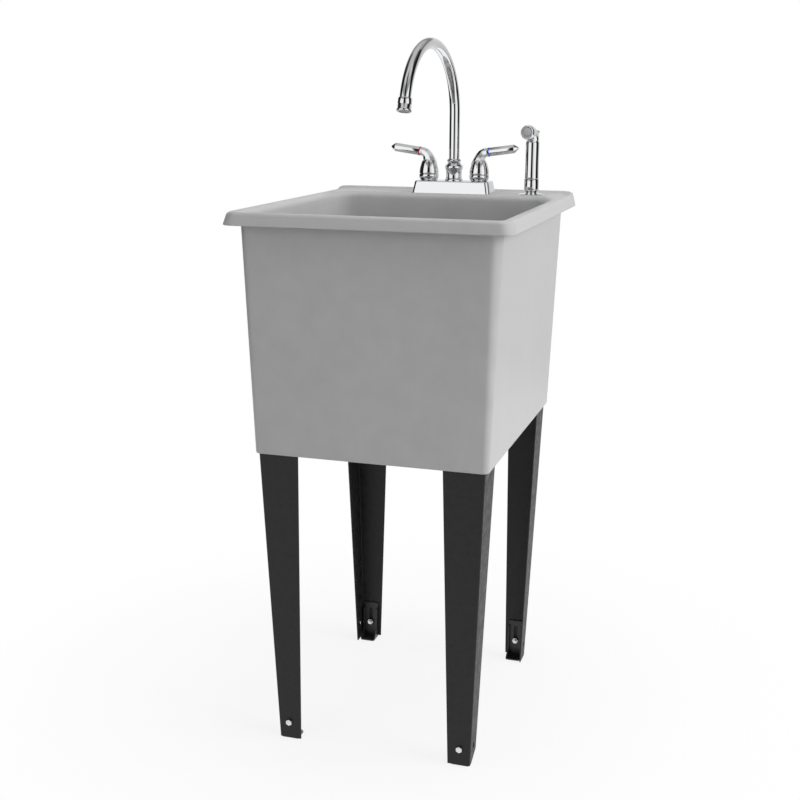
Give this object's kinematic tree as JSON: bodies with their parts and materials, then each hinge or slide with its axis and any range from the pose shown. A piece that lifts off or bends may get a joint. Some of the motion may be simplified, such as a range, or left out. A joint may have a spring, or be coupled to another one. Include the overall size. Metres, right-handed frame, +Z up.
{
  "type": "utility laundry sink",
  "caption": "Free-standing grey utility sink on black angle legs with a chrome high-arc faucet, lever handles and side sprayer.",
  "frame": {"origin": "on the floor, below the middle of the tub", "axes": "+Z up, -Y toward the user, +X to the user's right"},
  "size_m": [0.451, 0.533, 1.1428],
  "materials": {
    "tub_plastic": "satin",
    "leg_paint": "semi-gloss black",
    "foot_paint": "semi-gloss black",
    "zinc": "zinc plated",
    "chrome": "polished",
    "drain_steel": "satin",
    "rubber": "matte",
    "brass": "as cast",
    "white_plastic": "satin",
    "hot_ring": "gloss",
    "cold_ring": "gloss",
    "spray_face": "satin"
  },
  "bodies": {
    "sink": {"tub": "tub_plastic", "leg_front_left": "leg_paint", "leg_front_right": "leg_paint", "leg_rear_left": "leg_paint", "leg_rear_right": "leg_paint", "foot_bolts": "zinc", "foot_nuts": "zinc", "drain_strainer": "drain_steel", "drain_locknut": "drain_steel", "drain_tailpiece": "drain_steel", "drain_slip_nut": "drain_steel", "drain_gasket": "rubber", "faucet_gasket": "rubber", "shank_washers": "rubber", "sprayer_washer": "rubber", "faucet_body": "brass", "shank_nuts": "white_plastic", "hot_cartridge": "white_plastic", "cold_cartridge": "white_plastic", "sprayer_nut": "white_plastic", "faucet_plate": "chrome", "hot_bonnet": "chrome", "cold_bonnet": "chrome", "spout_nut": "chrome", "sprayer_holder": "chrome"},
    "spout": {"spout_tube": "chrome", "spout_collar": "chrome", "spout_bushing": "white_plastic", "spout_seal": "rubber", "aerator_washer": "rubber", "aerator_insert": "white_plastic", "aerator_housing": "chrome"},
    "hot_lever": {"hot_handle": "chrome", "hot_stem": "brass", "hot_index_ring": "hot_ring", "hot_handle_screw": "zinc"},
    "cold_lever": {"cold_handle": "chrome", "cold_stem": "brass", "cold_index_ring": "cold_ring", "cold_handle_screw": "zinc"},
    "handset": {"sprayer_body": "chrome", "sprayer_face": "spray_face", "trigger_pin": "zinc", "sprayer_inlet": "brass"},
    "trigger": {"sprayer_trigger": "chrome"},
    "levelling_foot_front_left": {"foot_front_left": "foot_paint"},
    "levelling_foot_front_right": {"foot_front_right": "foot_paint"},
    "levelling_foot_rear_left": {"foot_rear_left": "foot_paint"},
    "levelling_foot_rear_right": {"foot_rear_right": "foot_paint"}
  },
  "joints": [
    {"name": "spout_swivel", "type": "hinge", "parent": "sink", "child": "spout", "pos_m": [0.0155, 0.196, 0.9], "axis": [0, 0, 1], "continuous": true},
    {"name": "hot_lever_turn", "type": "hinge", "parent": "sink", "child": "hot_lever", "pos_m": [-0.0305, 0.196, 0.915], "axis": [0, 0, 1], "range_deg": [0, 90]},
    {"name": "cold_lever_turn", "type": "hinge", "parent": "sink", "child": "cold_lever", "pos_m": [0.0615, 0.196, 0.915], "axis": [0, 0, -1], "range_deg": [0, 90]},
    {"name": "sprayer_lift", "type": "slide", "parent": "sink", "child": "handset", "axis": [0, 0, 1], "range_m": [0, 0.09]},
    {"name": "trigger_press", "type": "hinge", "parent": "handset", "child": "trigger", "pos_m": [0.15772, 0.21002, 0.989], "axis": [-0.9877, 0.1564, 0], "range_deg": [0, 8], "stiffness_Nm_per_rad": 0.5},
    {"name": "front_left_foot_level", "type": "slide", "parent": "sink", "child": "levelling_foot_front_left", "axis": [0, 0.0339, -0.9994], "range_m": [0, 0.025]},
    {"name": "front_right_foot_level", "type": "slide", "parent": "sink", "child": "levelling_foot_front_right", "axis": [0, 0.0339, -0.9994], "range_m": [0, 0.025]},
    {"name": "rear_left_foot_level", "type": "slide", "parent": "sink", "child": "levelling_foot_rear_left", "axis": [0, -0.0339, -0.9994], "range_m": [0, 0.025]},
    {"name": "rear_right_foot_level", "type": "slide", "parent": "sink", "child": "levelling_foot_rear_right", "axis": [0, -0.0339, -0.9994], "range_m": [0, 0.025]}
  ]
}
